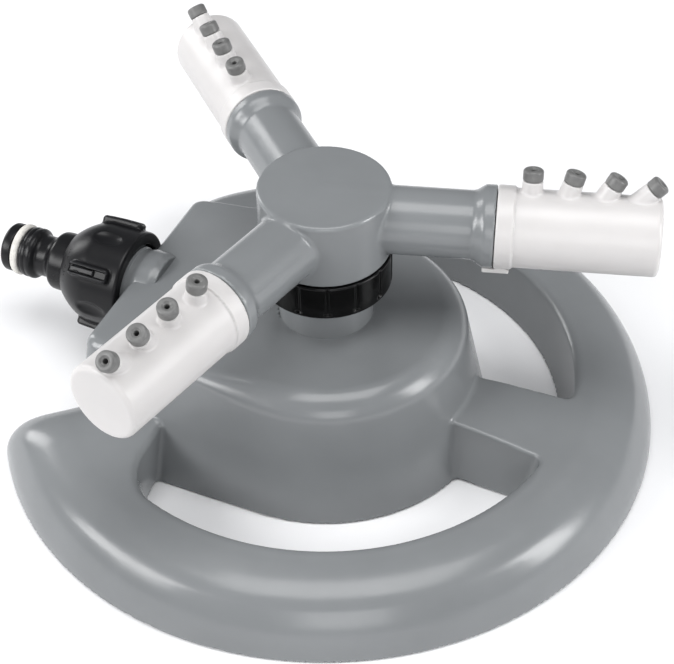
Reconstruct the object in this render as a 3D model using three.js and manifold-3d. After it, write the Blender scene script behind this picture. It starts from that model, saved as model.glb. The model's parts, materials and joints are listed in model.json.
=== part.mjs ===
// Three-arm rotary lawn sprinkler on a ring base, in millimetres.
// Origin: on the head axis at ground level. +Z is up, -X points out of the hose inlet and +X
// runs along the spoke that joins the tower to the ring.
import * as THREE from 'three';
import { mergeVertices } from 'three/addons/utils/BufferGeometryUtils.js';
import Module from 'manifold-3d';

const wasm = await Module();
wasm.setup();

// ---------------------------------------------------------------- driving dimensions
const GAP = 0.35;                 // clearance between pieces that sit against each other
const OVERRUN = 2;                // how far an opening is carried past the face it goes through

const WALL = 2.4;                 // moulded base shell
const RING_OUTER = 104;
const RING_INNER = 74.6;          // at the ground; the wall leans outwards as it rises
const RING_HEIGHT = 21.8;
const TIP_CENTRE = [-79.3, 55];   // plan centre of the rounded end of each ring arm
const TIP_RADIUS = 7;
const RING_MIDDLE = 90;
const NOSE_RADIUS = 27;           // the ring's ends round over from the top to the ground
const NOSE_CENTRE = -5.2;         // height of that rounding's centre

const TOWER_RADIUS = 51.8;        // at the ground
const TOWER_HEIGHT = 42.6;
const CHORD_X = -65;              // inlet-side wall of the tower, at the ground
const CHORD_CORNER = 5;
const HOOD_TAPER = 0.13;          // share of its width that the tower's top loses towards the inlet
const LIP_DROP = 0.1;             // share of its height that the tower loses towards the inlet
const SPOKE_HEIGHT = 23;
const WEB_X = -35.5;              // end wall of each C-shaped opening
const WEB_HEIGHT = 21;

const PIPE_Z = 29.7;              // inlet axis
const PIPE_RADIUS = 7.2;
const STUB_RADIUS = 11.8;
const THREAD_RADIUS = 12.5;
const BORE_RADIUS = 5.5;
const STUB_START = 56.5;          // distances along the inlet are measured from the head axis
const STUB_END = 82.5;

const NECK_RADIUS = 14.6;
const NECK_TOP = 55.5;
const SPINDLE_RADIUS = 10.8;
const SPINDLE_TOP = 74;
const SCREW_CIRCLE = 21;

const NUT_RADIUS = 20.3;
const NUT_BOTTOM = 55.9;
const NUT_TOP = 67.4;
const NUT_FLUTES = 14;

const HUB_RADIUS = 20;
const HUB_BOTTOM = 67.8;
const HUB_TOP = 90.2;
const HUB_BORE = SPINDLE_RADIUS + 0.5;
const ARM_Z = 79.3;
const ARM_RADIUS = 10.25;
const ARM_BORE = 6.8;
const ARM_FLANGE_RADIUS = 12.25;
const ARM_FLANGE_END = 50.5;
const SPIGOT_RADIUS = 9.4;
const SPIGOT_END = 64;
const ARM_AZIMUTHS = [17, 137, 257];
const SLEEVE_TURNS = [-16, -15, -9];   // how far each sleeve stands turned about its arm

const SLEEVE_RADIUS = 11.75;
const SLEEVE_BORE = 9.8;
const SLEEVE_START = ARM_FLANGE_END + GAP;
const SLEEVE_END = 98.4;
const COLLAR_RADIUS = 12.35;
const COLLAR_WIDTH = 5;
const JETS = 4;
const JET_START = 60.5;
const JET_PITCH = 10.75;
const JET_TILT = 14.5;             // each jet leans this much further out than the one before
const STALK_RADIUS = 3.1;
const STALK_HEIGHT = 3.4;
const TIP_CAP_RADIUS = 3;
const TIP_CAP_HEIGHT = 3.2;
const TIP_STEM_RADIUS = 1.45;
const JET_BORE = 2;

const UNION_BACK = 67;
const UNION_FRONT = 90.8;
const UNION_RADIUS = 16.8;
const UNION_BORE = THREAD_RADIUS + 0.4;
const GRIP_RISE = 2;              // how far the nut's four grips stand out
const GRIP_TURN = 49;             // degrees from upright to the first grip
const NIPPLE_BODY = 9.8;
const NIPPLE_FLANGE = [84.6, 87.3];
const NIPPLE_END = 115;
const NIPPLE_BORE = 4.5;

// Facets round a full turn.
const WIDE = 48;                  // the ring
const ROUND = 28;                 // hub, neck and connector
const SLIM = 20;                  // arms, sleeves and bores
const SMALL = 10;                 // jets, screws

// ---------------------------------------------------------------- materials
const greyPlastic = new THREE.MeshStandardMaterial({ color: 0x8f979b, roughness: 0.3, metalness: 0 });
const whitePlastic = new THREE.MeshStandardMaterial({ color: 0xece9e6, roughness: 0.4, metalness: 0 });
const blackPlastic = new THREE.MeshStandardMaterial({ color: 0x18181a, roughness: 0.35, metalness: 0 });
const greyRubber = new THREE.MeshStandardMaterial({ color: 0x77797b, roughness: 0.7, metalness: 0 });
const whiteRubber = new THREE.MeshStandardMaterial({ color: 0xd9d6cf, roughness: 0.6, metalness: 0 });
const blackRubber = new THREE.MeshStandardMaterial({ color: 0x222222, roughness: 0.8, metalness: 0 });
const acetal = new THREE.MeshStandardMaterial({ color: 0xe4e2da, roughness: 0.4, metalness: 0 });
const steel = new THREE.MeshStandardMaterial({ color: 0xb4b6b8, roughness: 0.3, metalness: 1 });

// ---------------------------------------------------------------- solids
const radians = THREE.MathUtils.degToRad;

// A closed geometry as a solid, turned the right way out.
function solid(geometry) {
  geometry.deleteAttribute('normal');
  geometry.deleteAttribute('uv');
  const merged = mergeVertices(geometry, 1e-4);
  const points = merged.attributes.position.array;
  const corners = [];
  for (let i = 0; i < merged.index.count; i += 3) {
    const [a, b, c] = merged.index.array.slice(i, i + 3);
    if (a !== b && b !== c && c !== a) corners.push([a, b, c]);
  }
  const at = (i) => new THREE.Vector3(points[3 * i], points[3 * i + 1], points[3 * i + 2]);
  const volume = corners.reduce((sum, [a, b, c]) => sum + at(a).dot(at(b).cross(at(c))), 0);
  const outward = volume > 0 ? corners : corners.map(([a, b, c]) => [a, c, b]);
  return new wasm.Manifold(new wasm.Mesh({
    numProp: 3,
    vertProperties: new Float32Array(points),
    triVerts: new Uint32Array(outward.flat()),
  }));
}

const join = (...solids) => solids.reduce((whole, piece) => whole.add(piece));
const cut = (whole, ...cutters) => cutters.reduce((left, cutter) => left.subtract(cutter), whole);

// A closed profile of [radius, distance] points turned about +Y, ready to be laid along an axis.
function lathe(profile, segments) {
  const points = profile.map(([r, d]) => new THREE.Vector2(r, d));
  if (profile[0][0] > 0) points.push(points[0]);
  return new THREE.LatheGeometry(points, segments);
}

// Turned about +Z: [radius, height] points.
const turned = (profile, segments = ROUND) => solid(lathe(profile, segments).rotateX(Math.PI / 2));

// Turned about the inlet's axis, which points along -X.
const turnedInlet = (profile, segments = ROUND) => (
  solid(lathe(profile, segments).rotateZ(Math.PI / 2).translate(0, 0, PIPE_Z))
);

// Turned about +X through the origin, for a sleeve.
const turnedArm = (profile, segments = SLIM) => solid(lathe(profile, segments).rotateZ(-Math.PI / 2));

const tube = (inner, outer, from, to) => [[inner, from], [outer, from], [outer, to], [inner, to]];
const rod = (radius, from, to) => [[0, from], [radius, from], [radius, to], [0, to]];

function ringSeal(radius, thickness, at) {
  const section = [];
  for (let i = 0; i < 6; i += 1) {
    const angle = (i / 6) * 2 * Math.PI;
    section.push([radius + thickness * Math.cos(angle), at + thickness * Math.sin(angle)]);
  }
  return section;
}

function box(x0, x1, y0, y1, z0, z1) {
  const geometry = new THREE.BoxGeometry(x1 - x0, y1 - y0, z1 - z0);
  return solid(geometry.translate((x0 + x1) / 2, (y0 + y1) / 2, (z0 + z1) / 2));
}

// A skin over matching closed loops, closed by a fan at each end.
function loft(loops) {
  const count = loops[0].length;
  const vertices = loops.flat();
  const index = [];
  for (let level = 0; level < loops.length - 1; level += 1) {
    for (let i = 0; i < count; i += 1) {
      const a = level * count + i;
      const b = level * count + ((i + 1) % count);
      index.push(a, b, b + count, a, b + count, a + count);
    }
  }
  for (const level of [0, loops.length - 1]) {
    const centre = new THREE.Vector3();
    loops[level].forEach((point) => centre.add(point));
    vertices.push(centre.divideScalar(count));
    for (let i = 0; i < count; i += 1) {
      const a = level * count + i;
      const b = level * count + ((i + 1) % count);
      if (level === 0) index.push(b, a, vertices.length - 1);
      else index.push(a, b, vertices.length - 1);
    }
  }
  const geometry = new THREE.BufferGeometry().setFromPoints(vertices);
  geometry.setIndex(index);
  return solid(geometry);
}

// ---------------------------------------------------------------- base shell
// Outer skin of the ring's cross-section, from the outer foot over the top to the inner foot.
const ringSkin = [
  [RING_OUTER, 0], [RING_OUTER - 0.3, 4], [RING_OUTER - 1.2, 7.5], [RING_OUTER - 4, 12],
  [RING_OUTER - 8, 16], [RING_OUTER - 13, 19.8], [RING_OUTER - 18, RING_HEIGHT],
  [RING_INNER + 7, RING_HEIGHT - 0.3], [RING_INNER + 4.6, 20.3], [RING_INNER + 3.6, 18.4],
  [RING_INNER, 0],
];

// The skin moved in by the wall's thickness and run out through the open underside.
function insideOf(skin) {
  const inner = skin.map(([r, z], i) => {
    const [r0, z0] = skin[Math.max(i - 1, 0)];
    const [r1, z1] = skin[Math.min(i + 1, skin.length - 1)];
    const length = Math.hypot(r1 - r0, z1 - z0);
    return [r - (WALL * (z1 - z0)) / length, z + (WALL * (r1 - r0)) / length];
  });
  inner[0][1] = -OVERRUN;
  inner.at(-1)[1] = -OVERRUN;
  return inner;
}

// Plan of the tower at one level: a half circle on the spoke side, straight flanks and a flat
// inlet wall with rounded corners. Each level sinks a little towards the inlet.
function towerLoop({ z, radius, chord, corner }) {
  const loop = [];
  const arc = (cx, cy, r, from, to, steps) => {
    for (let i = 0; i <= steps; i += 1) {
      const angle = radians(from + ((to - from) * i) / steps);
      loop.push(new THREE.Vector3(cx + r * Math.cos(angle), cy + r * Math.sin(angle), z));
    }
  };
  arc(0, 0, radius, -90, 90, 16);
  arc(chord + corner, radius - corner, corner, 90, 180, 3);
  arc(chord + corner, corner - radius, corner, 180, 270, 3);
  for (const point of loop) {
    const reach = THREE.MathUtils.smoothstep(-point.x, 5, -CHORD_X);
    point.y *= 1 - (HOOD_TAPER * reach * Math.max(z, 0)) / TOWER_HEIGHT;
    point.z *= 1 - LIP_DROP * reach;
  }
  return loop;
}

// Levels of the tower's skin from the ground to its crown. inset moves the skin inwards.
function towerLevels(inset) {
  const shoulder = 7;
  const levels = [0, TOWER_HEIGHT - shoulder].map((z) => (
    { z, radius: TOWER_RADIUS - 0.21 * z, chord: CHORD_X - 0.01 * z, corner: CHORD_CORNER }
  ));
  const { radius, chord } = levels.at(-1);
  for (const angle of [30, 60, 90].map(radians)) {
    const inwards = shoulder * (1 - Math.cos(angle));
    const z = TOWER_HEIGHT - shoulder + shoulder * Math.sin(angle);
    levels.push({ z, radius: radius - inwards, chord: chord + inwards * 0.4, corner: CHORD_CORNER });
  }
  levels.push({ z: TOWER_HEIGHT, radius: 18, chord: -30, corner: CHORD_CORNER });
  return levels.map((level, i) => ({
    z: i === 0 ? -OVERRUN * Math.sign(inset) : level.z - inset,
    radius: level.radius - inset,
    chord: level.chord + inset,
    corner: level.corner - inset,
  }));
}

const tower = (inset) => loft(towerLevels(inset).map(towerLoop));

function spoke(inset) {
  const section = (x, top, half, foot) => [
    [-foot, inset > 0 ? -OVERRUN : 0], [foot, inset > 0 ? -OVERRUN : 0],
    [half, top], [-half, top],
  ].map(([y, z]) => new THREE.Vector3(x, y, z));
  return loft([
    section(40, SPOKE_HEIGHT - inset, 10.2 - inset, 14 - inset),
    section(RING_INNER + 8, RING_HEIGHT - 0.4 - inset, 13.9 - inset, 15.5 - inset),
  ]);
}

// Notch between the ring's two ends, where the hose connector reaches in. It widens upwards
// along an arc, which rounds the ring's ends over. grow widens it further.
function inletNotch(grow) {
  const [tipX, tipY] = TIP_CENTRE;
  const side = [[CHORD_X + 6, 28.3]];
  for (const angle of [245, 222, 200, 178, 155].map(radians)) {
    side.push([tipX + TIP_RADIUS * Math.cos(angle), tipY + TIP_RADIUS * Math.sin(angle)]);
  }
  side.push([-RING_OUTER - 10, tipY]);
  const outline = [...side, ...side.map(([x, y]) => [x, -y]).reverse()];
  const levels = [-2 * OVERRUN, 0, 4, 8, 12, 15, 17.5, 19.5, 21, RING_HEIGHT, 30];
  return loft(levels.map((z) => {
    const climb = THREE.MathUtils.clamp(z, 0, RING_HEIGHT) - NOSE_CENTRE;
    const back = (NOSE_RADIUS - Math.sqrt(NOSE_RADIUS ** 2 - climb ** 2) + grow) / RING_MIDDLE;
    return outline.map(([x, y]) => (
      new THREE.Vector3(x, y, z).applyAxisAngle(new THREE.Vector3(0, 0, 1), y > 0 ? -back : back)
    ));
  }));
}

function webs(inset) {
  const reach = RING_INNER + 3 - inset;
  const slab = box(-reach, WEB_X - inset, -reach, reach, inset > 0 ? -OVERRUN : 0, WEB_HEIGHT - inset);
  return slab.intersect(turned(rod(reach, -2 * OVERRUN, RING_HEIGHT), WIDE));
}

const screwAzimuths = [0, 120, 240];
const BOSS_BOTTOM = 33.2;
const BOSS_RADIUS = 4;
const SCREW_RADIUS = 1.6;

// Turned about +Z through one of the feed screws.
function upright(profile, azimuth) {
  const x = SCREW_CIRCLE * Math.cos(radians(azimuth));
  const y = SCREW_CIRCLE * Math.sin(radians(azimuth));
  return solid(lathe(profile, SMALL).rotateX(Math.PI / 2).translate(x, y, 0));
}

function makeBaseShell() {
  const flatSkin = cut(join(turned(ringSkin, WIDE), webs(0)), inletNotch(0));
  const skin = join(flatSkin, spoke(0), tower(0));
  const flatHollow = cut(join(turned(insideOf(ringSkin), WIDE), webs(WALL)), inletNotch(WALL));
  const hollow = join(flatHollow, spoke(WALL), tower(WALL));
  const neckHole = turned(rod(NECK_RADIUS + GAP, TOWER_HEIGHT - 5, TOWER_HEIGHT + 5));
  const stubHole = turnedInlet(rod(STUB_RADIUS + 0.7, STUB_START - GAP, STUB_END));
  const bosses = screwAzimuths.map((a) => upright(rod(BOSS_RADIUS, BOSS_BOTTOM, TOWER_HEIGHT - 1), a));
  const pipeRelief = turnedInlet(rod(PIPE_RADIUS + GAP, 0, STUB_START + 1), SLIM);
  const pilots = screwAzimuths.map((a) => upright(rod(SCREW_RADIUS + GAP, BOSS_BOTTOM - 1, 40), a));
  return cut(join(cut(skin, hollow), ...bosses), neckHole, stubHole, pipeRelief, ...pilots);
}

// ---------------------------------------------------------------- feed body and its fixings
const CLIP_BOTTOM = 60.6;
const CLIP_TOP = 62;
const SEAL_Z = 68;
const SEAL_SECTION = 0.95;
const PLATE = [29.2, BOSS_BOTTOM - GAP];

function makeFeedBody() {
  const column = turned([
    [0, 0], [9, 0], [9, PIPE_Z], [NECK_RADIUS, PIPE_Z + 3], [NECK_RADIUS, NECK_TOP],
    [SPINDLE_RADIUS, NECK_TOP], [SPINDLE_RADIUS, CLIP_BOTTOM - GAP], [9.8, CLIP_BOTTOM - GAP],
    [9.8, CLIP_TOP + GAP], [SPINDLE_RADIUS, CLIP_TOP + GAP], [SPINDLE_RADIUS, SEAL_Z - 1.3],
    [8.7, SEAL_Z - 1.3], [8.7, SEAL_Z + 1.3], [SPINDLE_RADIUS, SEAL_Z + 1.3],
    [SPINDLE_RADIUS, SPINDLE_TOP - 0.8], [SPINDLE_RADIUS - 0.8, SPINDLE_TOP], [0, SPINDLE_TOP],
  ]);
  const plate = turned(rod(SCREW_CIRCLE + 5, PLATE[0], PLATE[1]));
  const pipe = turnedInlet(rod(PIPE_RADIUS, 0, STUB_START + 2), SLIM);
  const stub = turnedInlet([
    [0, STUB_START], [STUB_RADIUS - 1.4, STUB_START], [STUB_RADIUS + 0.3, STUB_START + 1.2],
    [STUB_RADIUS + 0.3, STUB_START + 3.4], [STUB_RADIUS - 0.3, STUB_START + 4.4],
    [STUB_RADIUS - 0.3, UNION_BACK], [THREAD_RADIUS, UNION_BACK + 1],
    [THREAD_RADIUS, STUB_END - 1], [THREAD_RADIUS - 1, STUB_END], [0, STUB_END],
  ]);
  const riser = turned(rod(BORE_RADIUS, PIPE_Z - 4, SPINDLE_TOP + OVERRUN), SLIM);
  const inletBore = turnedInlet(rod(BORE_RADIUS, 0, STUB_END + OVERRUN), SLIM);
  const holes = screwAzimuths.map((a) => upright(rod(SCREW_RADIUS + GAP, PLATE[0] - 1, PLATE[1] + 1), a));
  return cut(join(column, plate, pipe, stub), riser, inletBore, ...holes);
}

function makeFeedScrew(azimuth) {
  const head = PLATE[0] - GAP;
  const profile = [
    [0, head - 2.2], [2.2, head - 2.2], [3.1, head - 1.2], [3.1, head], [SCREW_RADIUS, head],
    [SCREW_RADIUS, 38], [0, 39],
  ];
  return upright(profile, azimuth);
}

const makeRetainingClip = () => cut(
  turned(tube(9.8 + GAP, 15.4, CLIP_BOTTOM, CLIP_TOP)),
  box(0, 20, -5, 5, CLIP_BOTTOM - 1, CLIP_TOP + 1),
);
const makeThrustWasher = () => turned(tube(SPINDLE_RADIUS + GAP, 15.2, CLIP_BOTTOM - 1.3, CLIP_BOTTOM - GAP));
const makeSpindleSeal = () => turned(ringSeal(9.97, SEAL_SECTION, SEAL_Z), SLIM);

// ---------------------------------------------------------------- rotating head
const SKIRT_BOTTOM = CLIP_TOP + 0.6;
const SKIRT_RADIUS = 17.2;

// Turned about one of the hub's arms.
const alongArm = (profile, azimuth, segments) => (
  solid(lathe(profile, segments).rotateZ(radians(azimuth - 90)).translate(0, 0, ARM_Z))
);

function makeRotorHub() {
  const drum = turned([
    [0, SKIRT_BOTTOM], [SKIRT_RADIUS, SKIRT_BOTTOM], [SKIRT_RADIUS, HUB_BOTTOM],
    [HUB_RADIUS, HUB_BOTTOM], [HUB_RADIUS, HUB_TOP - 1.2], [HUB_RADIUS - 0.4, HUB_TOP - 0.35],
    [HUB_RADIUS - 1.2, HUB_TOP], [0, HUB_TOP],
  ], 40);
  const sealAt = (SPIGOT_END + ARM_FLANGE_END) / 2;
  const arm = [
    [0, 0], [ARM_RADIUS, 0], [ARM_RADIUS, ARM_FLANGE_END - 6.5],
    [ARM_FLANGE_RADIUS, ARM_FLANGE_END - 3], [ARM_FLANGE_RADIUS, ARM_FLANGE_END],
    [SPIGOT_RADIUS, ARM_FLANGE_END], [SPIGOT_RADIUS, sealAt - 1.2], [7.7, sealAt - 1.2],
    [7.7, sealAt + 1.2], [SPIGOT_RADIUS, sealAt + 1.2], [SPIGOT_RADIUS, SPIGOT_END], [0, SPIGOT_END],
  ];
  const arms = ARM_AZIMUTHS.map((azimuth) => alongArm(arm, azimuth, SLIM));
  const bores = ARM_AZIMUTHS.map((a) => alongArm(rod(ARM_BORE, 5, SPIGOT_END + OVERRUN), a, 14));
  const chamber = turned(rod(HUB_BORE, SKIRT_BOTTOM - OVERRUN, ARM_Z + ARM_BORE));
  return cut(join(drum, ...arms), chamber, ...bores);
}

function makeHeadNut() {
  const lip = CLIP_BOTTOM - 1.3 - GAP;
  const body = turned([
    [SPINDLE_RADIUS + 0.5, NUT_BOTTOM], [NUT_RADIUS - 1.2, NUT_BOTTOM],
    [NUT_RADIUS, NUT_BOTTOM + 1.2], [NUT_RADIUS, NUT_TOP - 0.4], [NUT_RADIUS - 0.4, NUT_TOP],
    [SKIRT_RADIUS + GAP, NUT_TOP], [SKIRT_RADIUS + GAP, lip], [SPINDLE_RADIUS + 0.5, lip],
  ], 3 * NUT_FLUTES);
  const flutes = [];
  for (let i = 0; i < NUT_FLUTES; i += 1) {
    const angle = ((i + 0.5) / NUT_FLUTES) * 2 * Math.PI;
    const groove = new THREE.CylinderGeometry(1.1, 1.1, NUT_TOP - NUT_BOTTOM, 6).rotateX(Math.PI / 2);
    const radius = NUT_RADIUS + 0.25;
    groove.translate(radius * Math.cos(angle), radius * Math.sin(angle), (NUT_TOP + NUT_BOTTOM) / 2 + 1.4);
    flutes.push(solid(groove));
  }
  return cut(body, ...flutes);
}

// ---------------------------------------------------------------- sleeves, made along +X with the jets up
// Turned about the axis of one of the jets, with the sleeve's wall at height 0.
function turnedJet(profile, segments, jet) {
  const geometry = lathe(profile, segments).rotateX(Math.PI / 2).rotateY(radians(jet * JET_TILT));
  return solid(geometry.translate(JET_START + jet * JET_PITCH, 0, SLEEVE_RADIUS));
}

function makeSleeve() {
  const collarEnd = SLEEVE_START + COLLAR_WIDTH;
  const barrel = turnedArm([
    [SLEEVE_BORE, SLEEVE_START], [COLLAR_RADIUS, SLEEVE_START], [COLLAR_RADIUS, collarEnd - 0.4],
    [SLEEVE_RADIUS, collarEnd], [SLEEVE_RADIUS, SLEEVE_END - 1.6],
    [SLEEVE_RADIUS - 0.5, SLEEVE_END - 0.5], [SLEEVE_RADIUS - 1.6, SLEEVE_END], [0, SLEEVE_END],
    [0, SLEEVE_END - 2], [SLEEVE_BORE, SLEEVE_END - 2],
  ], 24);
  const lug = join(
    box(SLEEVE_START - 4.6, SLEEVE_START + 3.4, -2.6, 2.6, -14.1, -ARM_FLANGE_RADIUS - GAP),
    box(SLEEVE_START + 0.2, SLEEVE_START + 3.4, -2.6, 2.6, -13, -11),
  );
  const stalks = [];
  const bores = [];
  for (let jet = 0; jet < JETS; jet += 1) {
    const stalk = [[0, -1.5], [STALK_RADIUS + 0.1, -1.5], [STALK_RADIUS, STALK_HEIGHT], [0, STALK_HEIGHT]];
    stalks.push(turnedJet(stalk, 12, jet));
    bores.push(turnedJet(rod(JET_BORE, -5.5, STALK_HEIGHT + 1), 8, jet));
  }
  const hollow = turnedArm(rod(SLEEVE_BORE, SLEEVE_START - 1, SLEEVE_END - 2), 24);
  return cut(join(barrel, lug, ...stalks), hollow, ...bores);
}

function makeNozzleTip(jet) {
  const foot = STALK_HEIGHT + GAP;
  const top = foot + TIP_CAP_HEIGHT;
  return turnedJet([
    [0.7, foot - 2.6], [TIP_STEM_RADIUS, foot - 2.6], [TIP_STEM_RADIUS, foot], [TIP_CAP_RADIUS, foot],
    [TIP_CAP_RADIUS, top - 0.4], [TIP_CAP_RADIUS - 0.4, top], [1.5, top], [1.2, top - 0.6],
    [0.7, top - 0.6],
  ], SMALL, jet);
}

const makeArmSeal = () => turnedArm(ringSeal(8.75, 0.72, (SPIGOT_END + ARM_FLANGE_END) / 2), SLIM);

// ---------------------------------------------------------------- hose connector
function makeUnionNut() {
  const body = turnedInlet([
    [UNION_BORE, UNION_BACK], [UNION_RADIUS - 0.6, UNION_BACK], [UNION_RADIUS, UNION_BACK + 1.2],
    [UNION_RADIUS, UNION_FRONT - 12], [UNION_RADIUS - 0.3, UNION_FRONT - 8.4],
    [UNION_RADIUS - 1, UNION_FRONT - 5.8], [UNION_RADIUS - 2, UNION_FRONT - 3.7],
    [13.2, UNION_FRONT - 2], [11.9, UNION_FRONT - 1], [11.6, UNION_FRONT], [NIPPLE_BODY + GAP, UNION_FRONT],
    [NIPPLE_BODY + GAP, NIPPLE_FLANGE[1] + GAP], [UNION_BORE, NIPPLE_FLANGE[1] + GAP],
  ], 32);
  const from = UNION_BACK + 3;
  const to = UNION_BACK + 17.5;
  const middle = -(from + to) / 2;
  const grips = [];
  const slots = [];
  for (let side = 0; side < 4; side += 1) {
    const pad = new THREE.BoxGeometry(to - from, 7, 4).translate(middle, 0, UNION_RADIUS + GRIP_RISE - 2);
    const slot = new THREE.BoxGeometry(to - from - 2.5, 2.8, 2);
    slot.translate(middle, 0, UNION_RADIUS + GRIP_RISE);
    const turn = radians(GRIP_TURN + side * 90);
    grips.push(solid(pad.rotateX(turn).translate(0, 0, PIPE_Z)));
    slots.push(solid(slot.rotateX(turn).translate(0, 0, PIPE_Z)));
  }
  return cut(join(body, ...grips), ...slots);
}

function makeHoseNipple() {
  const [back, front] = NIPPLE_FLANGE;
  return turnedInlet([
    [NIPPLE_BORE, back + 1.8], [8.4, back + 1.8], [8.4, back], [UNION_BORE - GAP, back],
    [UNION_BORE - GAP, front], [NIPPLE_BODY, front], [NIPPLE_BODY, 95.8], [NIPPLE_BODY - 0.5, 96.6],
    [7.3, 97.9], [6.8, 98.8], [6.8, 102], [7.6, 103], [8.3, 103.7], [8.5, 104.6], [8.4, 106.6],
    [8.1, 107.2], [8.1, 108.3], [6.2, 108.3], [6.2, 111.3], [8, 111.3], [8, NIPPLE_END - 0.8],
    [7.3, NIPPLE_END], [NIPPLE_BORE + 0.6, NIPPLE_END], [NIPPLE_BORE, NIPPLE_END - 0.8],
  ], 24);
}

const makeNippleSeal = () => turnedInlet(ringSeal(7.45, 1.12, 109.8), SLIM);
const makeUnionWasher = () => turnedInlet(tube(7, 12.2, STUB_END + GAP, NIPPLE_FLANGE[0] - GAP), SLIM);

function makeInletFilter() {
  const face = NIPPLE_FLANGE[0];
  const disc = turnedInlet(rod(8, face + 0.2, face + 1.4), SLIM);
  const windows = [];
  for (const row of [-1, 0, 1]) {
    for (const column of [-1, 0, 1]) {
      const y = column * 3.6;
      const z = PIPE_Z + row * 3.6;
      windows.push(box(-face - 3, -face + 1, y - 1.3, y + 1.3, z - 1.3, z + 1.3));
    }
  }
  return cut(disc, ...windows);
}

// ---------------------------------------------------------------- scene graph
function mesh(name, manifold, material) {
  const { vertProperties, triVerts } = manifold.getMesh();
  const geometry = new THREE.BufferGeometry();
  geometry.setAttribute('position', new THREE.BufferAttribute(new Float32Array(vertProperties), 3));
  geometry.setIndex(new THREE.BufferAttribute(new Uint32Array(triVerts), 1));
  geometry.computeVertexNormals();
  const part = new THREE.Mesh(geometry, material);
  part.name = name;
  return part;
}

const sprinkler = new THREE.Group();

sprinkler.add(
  mesh('base_shell', makeBaseShell(), greyPlastic),
  mesh('feed_body', makeFeedBody(), greyPlastic),
  ...screwAzimuths.map((azimuth, i) => mesh(`feed_screw_${i + 1}`, makeFeedScrew(azimuth), steel)),
  mesh('retaining_clip', makeRetainingClip(), acetal),
  mesh('thrust_washer', makeThrustWasher(), acetal),
  mesh('spindle_seal', makeSpindleSeal(), blackRubber),
  mesh('rotor_hub', makeRotorHub(), greyPlastic),
  mesh('head_nut', makeHeadNut(), blackPlastic),
  mesh('union_nut', makeUnionNut(), blackPlastic),
  mesh('hose_nipple', makeHoseNipple(), blackPlastic),
  mesh('nipple_seal', makeNippleSeal(), whiteRubber),
  mesh('union_washer', makeUnionWasher(), blackRubber),
  mesh('inlet_filter', makeInletFilter(), steel),
);

ARM_AZIMUTHS.forEach((azimuth, i) => {
  const arm = new THREE.Group();
  arm.position.z = ARM_Z;
  arm.rotation.set(radians(SLEEVE_TURNS[i]), 0, radians(azimuth), 'ZYX');
  arm.add(mesh(`nozzle_sleeve_${i + 1}`, makeSleeve(), whitePlastic));
  arm.add(mesh(`arm_seal_${i + 1}`, makeArmSeal(), blackRubber));
  for (let jet = 0; jet < JETS; jet += 1) {
    arm.add(mesh(`nozzle_tip_${i + 1}_${jet + 1}`, makeNozzleTip(jet), greyRubber));
  }
  sprinkler.add(arm);
});

export default sprinkler;
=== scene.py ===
# A three-arm rotary lawn sprinkler on a ring base: the looks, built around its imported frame.
# Blender works in metres; the shapes below are worked out in millimetres in the same frame.
# Each moulding is a signed distance field, negative inside, and its skin is taken from the field.

import itertools
import json
import math

import bmesh
import bpy
import numpy as np
from mathutils import Matrix, Vector


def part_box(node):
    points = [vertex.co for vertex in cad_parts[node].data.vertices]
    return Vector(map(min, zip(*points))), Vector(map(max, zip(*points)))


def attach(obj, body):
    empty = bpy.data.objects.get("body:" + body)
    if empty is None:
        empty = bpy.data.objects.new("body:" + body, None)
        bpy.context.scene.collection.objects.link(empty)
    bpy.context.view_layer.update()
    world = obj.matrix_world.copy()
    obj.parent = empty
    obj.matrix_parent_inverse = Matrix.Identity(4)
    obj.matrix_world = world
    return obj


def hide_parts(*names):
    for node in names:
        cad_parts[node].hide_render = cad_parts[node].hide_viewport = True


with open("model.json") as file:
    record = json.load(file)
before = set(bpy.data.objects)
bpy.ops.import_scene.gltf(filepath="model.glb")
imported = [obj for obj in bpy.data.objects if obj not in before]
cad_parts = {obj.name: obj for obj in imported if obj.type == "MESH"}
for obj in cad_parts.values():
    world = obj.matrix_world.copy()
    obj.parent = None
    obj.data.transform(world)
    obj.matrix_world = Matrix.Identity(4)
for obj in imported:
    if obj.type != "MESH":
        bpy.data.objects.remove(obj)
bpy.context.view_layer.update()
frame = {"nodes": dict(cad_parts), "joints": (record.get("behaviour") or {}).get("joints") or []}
MM = 0.001


# ---------------------------------------------------------------- what the frame says
def low(node):
    return np.array(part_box(node)[0]) / MM


def high(node):
    return np.array(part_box(node)[1]) / MM


def centre(node):
    """Mean of a node's vertices, which lies on the axis of a turned piece."""
    return np.mean([vertex.co for vertex in frame["nodes"][node].data.vertices], axis=0) / MM


JOINTS = {joint["name"]: joint for joint in frame["joints"]}
ARMS = (1, 2, 3)
JETS = (1, 2, 3, 4)

RING_OUTER = high("base_shell")[1]
TOWER_TOP = high("base_shell")[2]
PIPE_Z = JOINTS["nut_turn"]["pos_m"][2] / MM
ARM_Z = JOINTS["head_spin"]["pos_m"][2] / MM
HUB_TOP = high("rotor_hub")[2] - 1.4         # the arms' flanges stand this much above the drum
SPINDLE_TOP = high("feed_body")[2]
STUB_END = -low("feed_body")[0]
NUT_RADIUS = high("head_nut")[1]
NUT_BOTTOM, NUT_TOP = low("head_nut")[2], high("head_nut")[2]
UNION_BACK, UNION_FRONT = -high("union_nut")[0], -low("union_nut")[0]
NIPPLE_BACK, NIPPLE_END = -high("hose_nipple")[0], -low("hose_nipple")[0]


# ---------------------------------------------------------------- fields
def smooth(value, start, end):
    """0 up to start, 1 from end on, and a smooth rise between."""
    share = np.clip((value - start) / (end - start), 0, 1)
    return share * share * (3 - 2 * share)


def common(a, b, radius=0.0):
    """Inside both, with the edge between them rounded."""
    return np.minimum(-radius, np.maximum(a, b)) + np.hypot(
        np.maximum(radius + a, 0), np.maximum(radius + b, 0))


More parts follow.
